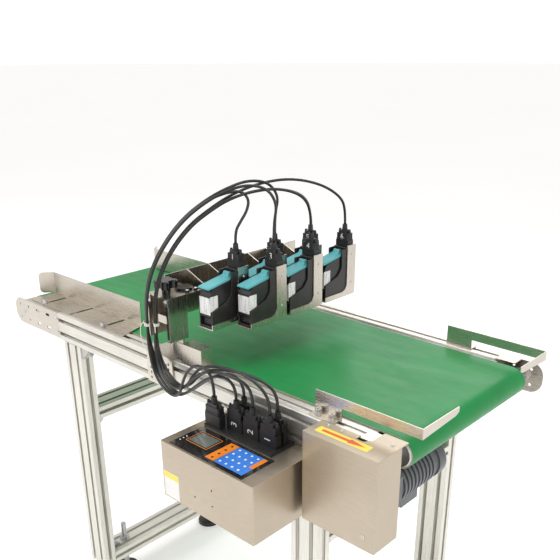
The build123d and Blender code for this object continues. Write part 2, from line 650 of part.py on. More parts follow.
def controller_case():
    """Folded stainless box, open at the back where the hanger closes it."""
    t = THIN_SHEET
    z0 = CONTROLLER_TOP - CONTROLLER_HEIGHT
    case = block(CONTROLLER_X, CONTROLLER_END, CONTROLLER_FRONT, -3, z0, CONTROLLER_TOP)
    edges = case.edges().filter_by(Axis.Z).sort_by(Axis.Y)[:2]
    case = fillet(edges, 2)
    for dx, drop in ((79, 72), (119, 72), (119, 44)):
        x, z = CONTROLLER_X + dx, CONTROLLER_TOP - drop
        case -= rod(1.6, (x, CONTROLLER_FRONT - 1, z), (x, CONTROLLER_FRONT + 2, z))
    return case - block(CONTROLLER_X + t, CONTROLLER_END - t, CONTROLLER_FRONT + t, 0, z0 + t, CONTROLLER_TOP - t)


def controller_panel():
    """Glossy membrane overlay with its display and key field."""
    x0, x1 = CONTROLLER_X + 17, CONTROLLER_END - 27
    y0, y1 = CONTROLLER_FRONT + 4, CONTROLLER_FRONT + 75
    return block(x0, x1, y0, y1, CONTROLLER_TOP, CONTROLLER_TOP + 1)


def socket_strip():
    """Black strip of sockets along the back of the controller's top."""
    x0, x1 = CONTROLLER_X + 16, CONTROLLER_END - 39
    y0 = CONTROLLER_FRONT + 79
    return block(x0, x1, y0, -5, CONTROLLER_TOP, CONTROLLER_TOP + 5)


def controller_plug_places():
    """Each lane's plug: three in the front row, two behind it and one forward of it."""
    pitch = PLUG_WIDTH + 2.5
    front = CONTROLLER_FRONT + 101.5
    rows = {"forward": front - PLUG_THICK - 0.5, "front": front, "back": front + PLUG_THICK + 4.5}
    for row, step in (("front", 2), ("forward", 3), ("back", 2), ("front", 1), ("front", 0), ("back", 0)):
        yield CONTROLLER_END - 61.5 - step * pitch, rows[row], CONTROLLER_TOP + 5


def controller_hanger():
    """Back plate of the case, with a tongue that hangs it from the rail's lower slot."""
    bottom = CONTROLLER_TOP - CONTROLLER_HEIGHT
    plate = block(CONTROLLER_X + 4, CONTROLLER_END - 4, -3, 0, bottom + 4, CONTROLLER_TOP - 4)
    plate += block(CONTROLLER_X + 40, CONTROLLER_END - 65, -3, 0, CONTROLLER_TOP - 5, RAIL_TOP - 36)
    for x, z in hanger_screw_places():
        plate -= rod(3.3, (x, -4, z), (x, 1, z))
    return plate


def hanger_screw_places():
    """Three screws into the rail's lower slot."""
    for x in (CONTROLLER_X + 52, CONTROLLER_X + 92, CONTROLLER_X + 132):
        yield x, RAIL_TOP - BAR_WIDE * 3 / 4


def controller_board():
    """Circuit board and power supply inside the case."""
    z = CONTROLLER_TOP - 22
    board = block(CONTROLLER_X + 12, CONTROLLER_END - 14, CONTROLLER_FRONT + 12, -12, z, z + 2)
    supply = block(CONTROLLER_X + 25, CONTROLLER_X + 120, CONTROLLER_FRONT + 15, -20, z - 45, z)
    chips = block(CONTROLLER_X + 130, CONTROLLER_X + 160, CONTROLLER_FRONT + 30, CONTROLLER_FRONT + 60, z + 2, z + 6)
    return board + supply + chips


# ---- cables ----
# Each trunk point comes with the step from one cable of the trunk to the next.
# Heights are above the rail's top.
OUTER_TRUNK = [
    ((430, -39, -38), (0, -6.5)), ((399, -35, -37), (0, -6.5)), ((368, -29, -25), (0, -6.5)),
    ((346, -23, -4), (2, -6.2)), ((332, -20, 28), (4, -5.2)), ((330, -20, 72), (5.7, -3.4)),
    ((332, -18, 120), (5.7, -3.4)),
    ((338, -6, 166), (5.7, -3.4)), ((349, 19, 210), (5.7, -3.4)), ((365, 49, 248), (5.7, -3.4)),
    ((384, 83, 275), (5.7, -3.4)),
]
INNER_TRUNK = [
    ((436, -37, -22), (0, -6.5)), ((408, -32, -23), (0, -6.5)), ((379, -26, -14), (0, -6.5)),
    ((357, -19, 2), (2, -6.2)), ((344, -14, 30), (4, -5.2)), ((342, -9, 72), (5.7, -3.4)),
    ((343, -8, 114), (5.7, -3.4)),
    ((349, 3, 158), (5.7, -3.4)), ((359, 26, 200), (5.7, -3.4)), ((373, 56, 236), (5.7, -3.4)),
    ((389, 86, 259), (5.7, -3.4)),
]
# From the trunk's top over to each head's plug, lane by lane.
HEAD_RUNS = [
    [(403, 112, 288), (418, 138, 290), (427, 147, 274), (428, 139, 255), (427, 124, 239), (426, 112, 224)],
    [(412, 106, 293), (440, 132, 304), (464, 157, 296), (474, 168, 268), (471, 162, 236)],
    [(399, 118, 294), (413, 158, 305), (425, 198, 298), (430, 219, 270), (426, 212, 238)],
    [(414, 112, 279), (440, 154, 292), (460, 200, 290), (471, 243, 272), (471, 262, 238)],
    [(403, 124, 277), (413, 176, 284), (420, 232, 282), (427, 285, 266), (426, 312, 236)],
    [(396, 131, 281), (414, 188, 297), (435, 248, 300), (456, 308, 284), (470, 350, 256), (471, 362, 229)],
]
# From above the controller's plugs over and back down to the trunk's foot.
CONTROLLER_RUNS = [
    [(560, -37, 33), (533, -38, 31), (506, -39, 17), (480, -39, -3), (455, -39, -24)],
    [(527, -50, 42), (500, -50, 45), (475, -50, 29), (459, -50, 3), (450, -49, -21)],
    [(558, -20, 32), (532, -22, 30), (506, -25, 16), (480, -28, -3), (455, -31, -24)],
    [(603, -38, 36), (577, -42, 44), (541, -44, 42), (507, -44, 32), (478, -44, 12), (458, -44, -10)],
    [(637, -37, 38), (606, -37, 50), (566, -37, 52), (526, -37, 46), (491, -37, 33), (469, -37, 11),
     (456, -37, -9)],
    [(640, -20, 36), (612, -22, 44), (574, -25, 45), (534, -28, 39), (498, -30, 27), (474, -31, 8),
     (457, -31, -10)],
]
# Each lane's place across its trunk: the first three lanes share the outer one.
TRUNK_PLACES = (0, 1, -1, 1, 0, -1)


def cable_points(lane):
    """Route of one cable, from the controller's plug to the head's plug."""
    trunk = OUTER_TRUNK if lane < 3 else INNER_TRUNK
    side = TRUNK_PLACES[lane]
    places = list(controller_plug_places())
    px, py, pz = places[lane]
    start = (px, py, pz + PLUG_SOCKET + HOOD_HEIGHT)
    hx, hy, hz = [head_plug_place(x, y) for n, x, y in heads() if n == lane][0]
    end = (hx, hy, hz + HEAD_SOCKET + HOOD_HEIGHT + GAP)
    middle = [(x + sx * side, y + sy * side, z) for (x, y, z), (sx, sy) in trunk]
    free = CONTROLLER_RUNS[lane] + middle + HEAD_RUNS[lane]
    leaving = (px, py, start[2] + CABLE_RISE)
    return [start, leaving] + [(x, y, RAIL_TOP + z) for x, y, z in free] + [end]


def cord(points, radius):
    """A tube of straight runs joined by arcs as large as the runs allow."""
    spots = [Vector(*p) for p in points]
    runs = [b - a for a, b in zip(spots, spots[1:])]
    radii = []
    for before, after in zip(runs, runs[1:]):
        half_turn = radians(before.get_angle(after)) / 2
        radii.append(0.45 * min(before.length, after.length) / tan(half_turn))
    path = FilletPolyline(*spots, radius=radii)
    tube = sweep(Plane(origin=spots[0], z_dir=runs[0]) * Circle(radius), path=path)
    ratio = tube.volume / (pi * radius ** 2 * path.length)
    lengths = [run.length for run in runs]
    print(f"cord {path.length:.0f} long, radii {min(radii):.0f} to {max(radii):.0f}, "
          f"runs {min(lengths):.0f} to {max(lengths):.0f}, volume ratio {ratio:.4f}")
    return tube


def cable_ties():
    """Two ties that gather each trunk in front of the post."""
    found = []
    for (x, y, z), _ in (OUTER_TRUNK[5], INNER_TRUNK[5]):
        band = Pos(x, y, RAIL_TOP + z - 8) * Rot(0, 0, -31) * extrude(RectangleRounded(23, 10.5, 5), 5)
        hole = Pos(x, y, RAIL_TOP + z - 9) * Rot(0, 0, -31) * extrude(RectangleRounded(21, 8.5, 4), 7)
        found.append(band - hole)
    return found


# ---- assembly ----
def hanger_screws():
    """Socket screws that hold the controller's hanger to the rail."""
    return [cap_screw((x, -3, z), (0, -1, 0)) for x, z in hanger_screw_places()]


def add(name, shape):
    parts[name] = shape


near_rail, far_rail = rails()
add("near_rail", near_rail)
add("far_rail", far_rail)
add("stand_legs", group(legs()))
tops = (RAIL_TOP - CROSSBAR_DROP, LEG_BOTTOM + BAR_THIN)
add("stand_crossbars", group(crossbar(x, top) for x in (0, LEG_PITCH) for top in tops))
add("levelling_feet", group(foot(x + BAR_WIDE / 2, y) for x in (0, LEG_PITCH) for y in foot_places()))
add("corner_brackets", group(corner_brackets()))
add("hanger_screws", group(hanger_screws()))

near_tail = take_up_slots(RAIL_START, end_plate(TAIL_X, RAIL_START, END_PLATE_NOSE))
far_drive = end_plate(DRIVE_X, RAIL_END, END_PLATE_NOSE)
inside_cover = COVER_X + COVER_LENGTH - THIN_SHEET - 2 - DRIVE_X
add("infeed_near_end_plate", near_tail)
add("infeed_far_end_plate", mirrored(near_tail))
add("outfeed_near_end_plate", end_plate(DRIVE_X, RAIL_END, inside_cover))
add("outfeed_far_end_plate", mirrored(far_drive))
bearings = [bearing(TAIL_X), bearing(DRIVE_X)]
add("roller_bearings", group(bearings + [mirrored(piece) for piece in bearings]))
add("slider_bed", slider_bed())
add("tail_roller", roller(TAIL_X, -1))
add("drive_roller", roller(DRIVE_X, -14))
add("conveyor_belt", loop(TAIL_X, ROLLER_Z, DRIVE_X, ROLLER_Z, ROLLER_RADIUS + GAP, BELT_THICK,
                          BELT_EDGE, TRACK - BELT_EDGE))

motor_z = RAIL_TOP - MOTOR_DROP
add("gearmotor", gearmotor())
add("motor_bracket", motor_bracket())
drive_wheel = toothed_pulley(DRIVE_X, ROLLER_Z, -28, -16)
drive_wheel -= rod(AXLE_RADIUS, (DRIVE_X, -14, ROLLER_Z), (DRIVE_X, 0, ROLLER_Z))
add("drive_pulley", drive_wheel)
motor_wheel = toothed_pulley(MOTOR_X, motor_z, -28, -16)
motor_wheel += rod(AXLE_RADIUS, (MOTOR_X, -16, motor_z), (MOTOR_X, BAR_THIN + 15, motor_z))
add("motor_pulley", motor_wheel)
add("timing_belt", loop(MOTOR_X, motor_z, DRIVE_X, ROLLER_Z, PULLEY_RADIUS + GAP, 1.6, -27, -17))
add("drive_cover", drive_cover())

guide = infeed_guide()
add("near_infeed_guide", guide)
add("far_infeed_guide", mirrored(guide))
add("infeed_thumb_screws", group(guide_screws()))
stop = outfeed_stop()
add("near_outfeed_stop", stop)
add("far_outfeed_stop", mirrored(stop))
add("near_stop_thumb_screws", group(stop_screws()))
add("far_stop_thumb_screws", group(mirrored(screw) for screw in stop_screws()))

add("post_bracket", post_bracket())
add("print_post", print_post())
add("bridge_beam", bridge_beam())
add("lift_screw", lift_screw())
add("pivot_disc", pivot_disc())
add("sensor_box", sensor_box())
add("tray_sensor", sensor_eye())

places = list(heads())
add("head_arms", group(head_arm(lane, x, y) for lane, x, y in places))
add("head_holders", group(head_holder(x, y) for lane, x, y in places))
add("head_side_plates", group(side_plate(x, y) for lane, x, y in places))
plug_spots = [head_plug_place(x, y) for lane, x, y in places]
add("head_plugs", group(plug(*spot, HOLDER_WIDTH - 4, 16, HEAD_SOCKET) for spot in plug_spots))
for lane, x, y in places:
    add(f"ink_cartridge_{lane + 1}", cartridge(x, y))

add("controller_case", controller_case())
add("controller_panel", controller_panel())
add("controller_socket_strip", socket_strip())
plugs = [plug(x, y, z, PLUG_WIDTH, PLUG_THICK, PLUG_SOCKET) for x, y, z in controller_plug_places()]
add("controller_plugs", group(plugs))
add("controller_hanger", controller_hanger())
add("controller_board", controller_board())
for lane in range(6):
    add(f"head_cable_{lane + 1}", cord(cable_points(lane), CABLE_RADIUS))
add("cable_ties", group(cable_ties()))

boxes = [shape.bounding_box() for shape in parts.values()]
low_x, high_x = min(box.min.X for box in boxes), max(box.max.X for box in boxes)
low_y, high_y = min(box.min.Y for box in boxes), max(box.max.Y for box in boxes)
shift = Pos(-(low_x + high_x) / 2, -(low_y + high_y) / 2, 0)
os.makedirs("parts", exist_ok=True)
for name, shape in parts.items():
    export_step(shift * shape, f"parts/{name}.step")
print(len(parts), "nodes; origin moved by", shift.position)
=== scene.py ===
import math

import bmesh
import bpy
from mathutils import Matrix, Vector


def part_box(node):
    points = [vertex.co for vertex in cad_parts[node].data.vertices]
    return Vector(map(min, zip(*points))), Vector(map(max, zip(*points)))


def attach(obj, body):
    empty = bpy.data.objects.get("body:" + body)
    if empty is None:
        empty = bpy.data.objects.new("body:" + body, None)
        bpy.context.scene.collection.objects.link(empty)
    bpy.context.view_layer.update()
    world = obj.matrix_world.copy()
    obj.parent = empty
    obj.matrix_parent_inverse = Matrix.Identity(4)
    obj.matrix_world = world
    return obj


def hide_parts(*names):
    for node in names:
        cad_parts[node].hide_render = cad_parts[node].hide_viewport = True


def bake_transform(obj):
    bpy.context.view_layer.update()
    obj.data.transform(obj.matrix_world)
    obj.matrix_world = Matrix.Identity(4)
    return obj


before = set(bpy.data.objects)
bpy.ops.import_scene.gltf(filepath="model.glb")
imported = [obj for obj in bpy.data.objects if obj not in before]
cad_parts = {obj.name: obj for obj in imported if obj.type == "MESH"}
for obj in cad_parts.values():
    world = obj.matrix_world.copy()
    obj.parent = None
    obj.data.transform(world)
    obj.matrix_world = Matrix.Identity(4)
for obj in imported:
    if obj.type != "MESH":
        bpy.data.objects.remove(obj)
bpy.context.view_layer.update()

# Working coordinates, in millimetres, are those of the machine: X from the infeed leg, Y from the near
# rail's outer face, Z from the floor. The near rail's box ties them to the row frame.
RAIL_CORNER = Vector((-12, 0, 630))
SHIFT = Vector(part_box("near_rail")[0]) * 1000 - RAIL_CORNER
HEAD_Z = 757  # underside of the head holders
HOLDER = 34  # width of a head holder along X
HEAD_PLUG_Y = 78  # from a head's corner to the middle of its plug
HEAD_PLUG_Z = 851  # foot of the head plugs
CONTROLLER_PLUG_Z = 648  # foot of the controller plugs
CASE_END, CASE_FRONT, CASE_TOP = 503, -138, 633  # faces of the controller case
COVER_TOP = 691.5  # top of the drive cover
FRONT, UPWARD = (0, -1, 0), (0, 0, 1)  # directions that fittings stand out in


def at(x, y, z):
    """A point of the machine, in metres, in the row frame."""
    return (Vector((x, y, z)) + SHIFT) / 1000


# ---- materials ----
def shader(name, metallic=0.0, coat=0.0, coat_roughness=0.1, specular=0.5):
    """A new material, its node tree and its principled shader."""
    made = bpy.data.materials.new(name)
    made.use_nodes = True
    tree = made.node_tree
    bsdf = tree.nodes["Principled BSDF"]
    bsdf.inputs["Metallic"].default_value = metallic
    bsdf.inputs["Coat Weight"].default_value = coat
    bsdf.inputs["Coat Roughness"].default_value = coat_roughness
    bsdf.inputs["Specular IOR Level"].default_value = specular
    return made, tree, bsdf


def place(tree, stretch=(1, 1, 1)):
    """Object coordinates, stretched along one axis for a drawn or brushed grain."""
    coord = tree.nodes.new("ShaderNodeTexCoord")
    mapping = tree.nodes.new("ShaderNodeMapping")
    mapping.inputs["Scale"].default_value = stretch
    tree.links.new(coord.outputs["Object"], mapping.inputs["Vector"])
    return mapping.outputs["Vector"]


def noise(tree, where, scale, detail=4.0, roughness=0.55):
    node = tree.nodes.new("ShaderNodeTexNoise")
    node.inputs["Scale"].default_value = scale
    node.inputs["Detail"].default_value = detail
    node.inputs["Roughness"].default_value = roughness
    tree.links.new(where, node.inputs["Vector"])
    return node.outputs["Fac"]


def ramp(tree, value, stops):
    """A colour ramp over a value; stops are (position, colour)."""
    node = tree.nodes.new("ShaderNodeValToRGB")
    elements = node.color_ramp.elements
    while len(elements) < len(stops):
        elements.new(0.5)
    for element, (position, colour) in zip(elements, stops):
        element.position = position
        element.color = (*colour, 1)
    tree.links.new(value, node.inputs["Fac"])
    return node.outputs["Color"]


def spread(tree, value, low, high, start=0.3, end=0.7):
    """A value mapped from start..end onto low..high."""
    node = tree.nodes.new("ShaderNodeMapRange")
    node.inputs["From Min"].default_value = start
    node.inputs["From Max"].default_value = end
    node.inputs["To Min"].default_value = low
    node.inputs["To Max"].default_value = high
    tree.links.new(value, node.inputs["Value"])
    return node.outputs["Result"]


def relief(tree, bsdf, height, depth, rounding=0.0):
    """Bump from a height, over edges rounded by a small radius."""
    bump = tree.nodes.new("ShaderNodeBump")
    bump.inputs["Strength"].default_value = 1.0
    bump.inputs["Distance"].default_value = depth
    tree.links.new(height, bump.inputs["Height"])
    if rounding:
        bevel = tree.nodes.new("ShaderNodeBevel")
        bevel.samples = 4
        bevel.inputs["Radius"].default_value = rounding
        tree.links.new(bevel.outputs["Normal"], bump.inputs["Normal"])
    tree.links.new(bump.outputs["Normal"], bsdf.inputs["Normal"])


def combine(tree, kind, a, b):
    node = tree.nodes.new("ShaderNodeMath")
    node.operation = kind
    tree.links.new(a, node.inputs[0])
    tree.links.new(b, node.inputs[1])
    return node.outputs["Value"]


def metal(name, dark, light, rough, stretch, grain, depth, rounding=0.0006, metallic=1.0):
    """Brushed, drawn or cast metal: cloudy tint, streaked roughness and a fine grain."""
    made, tree, bsdf = shader(name, metallic=metallic)
    clouds = noise(tree, place(tree), 9, 3)
    streaks = noise(tree, place(tree, stretch), grain, 5)
    both = combine(tree, "MULTIPLY", spread(tree, clouds, 0.75, 1.25), streaks)
    tree.links.new(ramp(tree, both, [(0.3, dark), (0.7, light)]), bsdf.inputs["Base Color"])
    tree.links.new(spread(tree, both, *rough), bsdf.inputs["Roughness"])
    relief(tree, bsdf, streaks, depth, rounding)
    return made


def plastic(name, dark, light, rough, grain=900, depth=0.00004, coat=0.0, rounding=0.0005, clouds=14):
    """Moulded plastic or rubber: slight mottling, fine moulded grain, dull patches."""
    made, tree, bsdf = shader(name, coat=coat)
    where = place(tree)
    patches = noise(tree, where, clouds, 4)
    fine = noise(tree, where, grain, 2)
    tree.links.new(ramp(tree, patches, [(0.35, dark), (0.7, light)]), bsdf.inputs["Base Color"])
    tree.links.new(spread(tree, patches, *rough), bsdf.inputs["Roughness"])
    relief(tree, bsdf, fine, depth, rounding)
    return made


def split_by_axis(tree, axis, threshold):
    """1 where the surface faces along an axis, either way, else 0."""
    geometry = tree.nodes.new("ShaderNodeNewGeometry")
    parts = tree.nodes.new("ShaderNodeSeparateXYZ")
    tree.links.new(geometry.outputs["True Normal"], parts.inputs["Vector"])
    size = tree.nodes.new("ShaderNodeMath")
    size.operation = "ABSOLUTE"
    tree.links.new(parts.outputs[axis], size.inputs[0])
    test = tree.nodes.new("ShaderNodeMath")
    test.operation = "GREATER_THAN"
    test.inputs[1].default_value = threshold
    tree.links.new(size.outputs["Value"], test.inputs[0])
    return test.outputs["Value"]


def mix_colour(tree, mask, a, b):
    node = tree.nodes.new("ShaderNodeMix")
    node.data_type = "RGBA"
    tree.links.new(mask, node.inputs["Factor"])
    for value, socket in ((a, node.inputs["A"]), (b, node.inputs["B"])):
        if isinstance(value, tuple):
            socket.default_value = (*value, 1)
        else:
            tree.links.new(value, socket)
    return node.outputs["Result"]


def belt_material():
    """Glossy green cover on a cream fabric that shows at the belt's cut edges."""
    made, tree, bsdf = shader("belt_cover", coat=0.1, coat_roughness=0.3, specular=0.25)
    where = place(tree)
    broad = noise(tree, where, 5, 4)
    scuffs = noise(tree, place(tree, (1, 3, 1)), 12, 6, 0.65)
    fine = noise(tree, where, 1400, 2)
    green = ramp(tree, broad, [(0.3, (0.002, 0.17, 0.035)), (0.75, (0.005, 0.25, 0.06))])
    edge = split_by_axis(tree, "Y", 0.5)
    tree.links.new(mix_colour(tree, edge, green, (0.55, 0.5, 0.36)), bsdf.inputs["Base Color"])
    tree.links.new(spread(tree, scuffs, 0.34, 0.52), bsdf.inputs["Roughness"])
    relief(tree, bsdf, fine, 0.00003, 0.0004)
    return made


PAD_TOP = 0.0225  # height of a foot's black pad, in metres


def foot_material():
    """Black pads below; zinc studs and nuts above them."""
    made, tree, bsdf = shader("levelling_foot")
    where = place(tree)
    height = tree.nodes.new("ShaderNodeSeparateXYZ")
    tree.links.new(where, height.inputs["Vector"])
    above = spread(tree, height.outputs["Z"], 0, 1, PAD_TOP, PAD_TOP + 0.0001)
    specks = noise(tree, where, 160, 4)
    black = ramp(tree, specks, [(0.3, (0.008, 0.008, 0.008)), (0.7, (0.02, 0.02, 0.021))])
    zinc = ramp(tree, specks, [(0.3, (0.42, 0.43, 0.44)), (0.7, (0.62, 0.62, 0.62))])
    tree.links.new(mix_colour(tree, above, black, zinc), bsdf.inputs["Base Color"])
    tree.links.new(above, bsdf.inputs["Metallic"])
    tree.links.new(spread(tree, specks, 0.3, 0.5), bsdf.inputs["Roughness"])
    relief(tree, bsdf, specks, 0.0001, 0.0006)
    return made


def panel_material():
    """Black gloss membrane with the shine of a clear film over it."""
    made, tree, bsdf = shader("membrane_black", coat=0.8, coat_roughness=0.05)
    cells = noise(tree, place(tree), 60, 3)
    tree.links.new(ramp(tree, cells, [(0.3, (0.006, 0.006, 0.007)), (0.8, (0.014, 0.013, 0.013))]),
                   bsdf.inputs["Base Color"])
    tree.links.new(spread(tree, cells, 0.12, 0.24), bsdf.inputs["Roughness"])
    relief(tree, bsdf, cells, 0.00006, 0.0004)
    return made


def stripe_label(name, paper, ink, frequency, cover):
    """Printed label: rows of plain grey bars, no words."""
    made, tree, bsdf = shader(name)
    where = place(tree)
    blocks = noise(tree, place(tree, (260, 260, 40)), 1, 1)
    rows = tree.nodes.new("ShaderNodeTexWave")
    rows.bands_direction = "Z"
    rows.inputs["Scale"].default_value = frequency
    tree.links.new(where, rows.inputs["Vector"])
    lines = spread(tree, rows.outputs["Fac"], 0, 1, cover, cover + 0.05)
    dashes = spread(tree, blocks, 0, 1, 0.52, 0.56)
    mask = combine(tree, "MULTIPLY", lines, dashes)
    tree.links.new(mix_colour(tree, mask, paper, ink), bsdf.inputs["Base Color"])
    tree.links.new(spread(tree, noise(tree, where, 120), 0.35, 0.5), bsdf.inputs["Roughness"])
    return made


WARM_DARK, WARM_LIGHT = (0.53, 0.49, 0.43), (0.66, 0.61, 0.54)
ANODISED, ANODISED_UPRIGHT, ANODISED_CROSS = [
    metal(name, (0.62, 0.60, 0.55), (0.78, 0.76, 0.70), (0.34, 0.5), drawn, 12, 0.00004, 0.0007, 0.85)
    for name, drawn in (("anodised_bar", (2, 60, 60)), ("anodised_upright", (60, 60, 2)),
                        ("anodised_cross", (60, 2, 60)))]
CAST = metal("cast_zinc", (0.46, 0.45, 0.43), (0.6, 0.59, 0.57), (0.4, 0.55), (1, 1, 1), 300, 0.00012)
STAINLESS = metal("brushed_along", WARM_DARK, WARM_LIGHT, (0.22, 0.38), (3, 90, 90), 14, 0.00003)
STAINLESS_UP = metal("brushed_upright", WARM_DARK, WARM_LIGHT, (0.2, 0.36), (90, 90, 3), 14, 0.00003)
CASE_STEEL = metal("case_steel", (0.44, 0.375, 0.295), (0.53, 0.46, 0.37), (0.34, 0.46),
                   (3, 80, 80), 16, 0.00003, 0.0012)
SCREW_STEEL = metal("screw_steel", (0.5, 0.5, 0.5), (0.72, 0.71, 0.7), (0.2, 0.34),
                    (1, 1, 1), 220, 0.00004, 0.0003)
BARE_STEEL = metal("bed_steel", (0.42, 0.42, 0.42), (0.58, 0.58, 0.58), (0.3, 0.46),
                   (2, 60, 60), 18, 0.00004)
MOTOR_PAINT = plastic("motor_paint", (0.075, 0.082, 0.09), (0.115, 0.122, 0.13), (0.3, 0.46), 500, 0.00008)
BLACK = plastic("moulded_black", (0.008, 0.008, 0.009), (0.022, 0.022, 0.023), (0.36, 0.55), 700, 0.00009)
HOLDER_BLACK = plastic("holder_black", (0.012, 0.010, 0.010), (0.032, 0.027, 0.026), (0.26, 0.42),
                       420, 0.00006)
KNOB_BLACK = plastic("knob_black", (0.006, 0.006, 0.006), (0.015, 0.015, 0.015), (0.14, 0.26), 300, 0.00003)
CARTRIDGE_BLACK = plastic("cartridge_black", (0.009, 0.009, 0.010), (0.020, 0.020, 0.021), (0.24, 0.36),
                          800, 0.00004)
TEAL = plastic("teal_lid", (0.06, 0.34, 0.37), (0.11, 0.43, 0.46), (0.3, 0.44), 800, 0.00004)
CABLE = plastic("cable_jacket", (0.004, 0.004, 0.0045), (0.010, 0.010, 0.010), (0.3, 0.46),
                300, 0.00005, coat=0.15)
RUBBER = plastic("timing_rubber", (0.01, 0.01, 0.01), (0.03, 0.03, 0.03), (0.55, 0.75), 500, 0.0001)
NYLON = plastic("tie_nylon", (0.62, 0.60, 0.52), (0.76, 0.74, 0.66), (0.35, 0.5), 400, 0.00003)
BOARD = plastic("board_green", (0.01, 0.1, 0.03), (0.02, 0.16, 0.05), (0.35, 0.5), 200, 0.0002)
WHITE_INK = plastic("white_ink", (0.7, 0.7, 0.7), (0.85, 0.85, 0.85), (0.4, 0.55), 500, 0.00001, rounding=0)
BLUE_KEYS = plastic("key_blue", (0.03, 0.17, 0.62), (0.05, 0.23, 0.72), (0.25, 0.35),
                    500, 0.00002, coat=0.4, rounding=0)
ORANGE_KEYS = plastic("key_orange", (0.72, 0.19, 0.012), (0.85, 0.26, 0.02), (0.25, 0.35),
                      500, 0.00002, coat=0.4, rounding=0)
DISPLAY = plastic("display_glass", (0.09, 0.105, 0.095), (0.14, 0.155, 0.14), (0.08, 0.16),
                  300, 0.00001, coat=0.6, rounding=0)
YELLOW_FILM = plastic("yellow_film", (0.80, 0.62, 0.05), (0.90, 0.74, 0.12), (0.3, 0.42),
                      300, 0.00002, rounding=0)
RED_FILM = plastic("red_film", (0.62, 0.06, 0.02), (0.75, 0.10, 0.03), (0.3, 0.42), 300, 0.00002, rounding=0)
PAPER = plastic("paper_white", (0.76, 0.75, 0.72), (0.86, 0.85, 0.82), (0.45, 0.6), 300, 0.00003, rounding=0)
INK_LABEL = stripe_label("cartridge_label", (0.80, 0.79, 0.78), (0.42, 0.41, 0.43), 110, 0.55)
FLOOR = plastic("floor_pale", (0.93, 0.93, 0.93), (0.95, 0.95, 0.95), (0.7, 0.8),
                40, 0.0001, rounding=0, clouds=0.7)
FLOOR_GLOW = 0.16  # brings the floor up to the photo's white ground
floor_shader = FLOOR.node_tree.nodes["Principled BSDF"]
floor_shader.inputs["Emission Color"].default_value = (1, 1, 1, 1)
floor_shader.inputs["Emission Strength"].default_value = FLOOR_GLOW

FINISH = {
    "near_rail": ANODISED, "far_rail": ANODISED, "stand_legs": ANODISED_UPRIGHT,
    "stand_crossbars": ANODISED_CROSS, "corner_brackets": CAST, "levelling_feet": foot_material(),
    "hanger_screws": SCREW_STEEL, "infeed_thumb_screws": SCREW_STEEL,
    "near_stop_thumb_screws": SCREW_STEEL, "far_stop_thumb_screws": SCREW_STEEL,
    "roller_bearings": SCREW_STEEL, "slider_bed": BARE_STEEL, "tail_roller": BARE_STEEL,
    "drive_roller": BARE_STEEL, "conveyor_belt": belt_material(), "gearmotor": MOTOR_PAINT,
    "motor_bracket": STAINLESS, "drive_pulley": CAST, "motor_pulley": CAST, "timing_belt": RUBBER,
    "drive_cover": CASE_STEEL, "controller_case": CASE_STEEL, "controller_hanger": STAINLESS,
    "infeed_near_end_plate": STAINLESS, "infeed_far_end_plate": STAINLESS,
    "outfeed_near_end_plate": STAINLESS, "outfeed_far_end_plate": STAINLESS,
    "near_infeed_guide": STAINLESS, "far_infeed_guide": STAINLESS,
    "near_outfeed_stop": STAINLESS, "far_outfeed_stop": STAINLESS,
    "post_bracket": STAINLESS_UP, "print_post": STAINLESS_UP, "bridge_beam": STAINLESS_UP,
    "head_arms": STAINLESS, "head_side_plates": STAINLESS_UP, "sensor_box": STAINLESS_UP,
    "tray_sensor": BLACK, "lift_screw": KNOB_BLACK, "pivot_disc": KNOB_BLACK,
    "head_holders": HOLDER_BLACK, "head_plugs": BLACK, "controller_plugs": BLACK,
    "controller_socket_strip": BLACK, "controller_panel": panel_material(),
    "controller_board": BOARD, "cable_ties": NYLON,
}
for node_name, finish in FINISH.items():
    for material_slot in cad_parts[node_name].material_slots:
        material_slot.material = finish


# ---- mesh helpers ----
def finish_mesh(name, mesh_data, body, finish, bevel=0.0, segments=2, angle=35):
    """A bmesh as a piece on a body, with its material and an optional rounded edge."""
    data = bpy.data.meshes.new(name)
    bmesh.ops.recalc_face_normals(mesh_data, faces=mesh_data.faces)
    mesh_data.to_mesh(data)
    mesh_data.free()
    piece = bpy.data.objects.new(name, data)
    bpy.context.scene.collection.objects.link(piece)
    data.materials.append(finish)
    if bevel:
        rounding = piece.modifiers.new("rounded", "BEVEL")
        rounding.width = bevel
        rounding.segments = segments
        rounding.limit_method = "ANGLE"
        rounding.angle_limit = math.radians(angle)
    if body:
        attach(piece, body)
    return piece


CORNER_STEPS = 6
CORNER_REACH = 0.48  # the most of a side that one rounded corner takes


def rounded(points, radii):
    """A closed outline with its corners rounded by quadratic curves."""
    found = []
    count = len(points)
    for n, (point, radius) in enumerate(zip(points, radii)):
        here = Vector(point)
        before = Vector(points[n - 1]) - here
        after = Vector(points[(n + 1) % count]) - here
        if not radius:
            found.append(here)
            continue
        half = before.angle(after) / 2
        reach = min(radius / math.tan(half), before.length * CORNER_REACH, after.length * CORNER_REACH)
        start, end = here + before.normalized() * reach, here + after.normalized() * reach
        for step in range(CORNER_STEPS + 1):
            t = step / CORNER_STEPS
            found.append(start * (1 - t) ** 2 + here * 2 * t * (1 - t) + end * t ** 2)
    return found


def rectangle(x0, x1, y0, y1, radius=1.0):
    return rounded([(x0, y0), (x1, y0), (x1, y1), (x0, y1)], [radius] * 4)


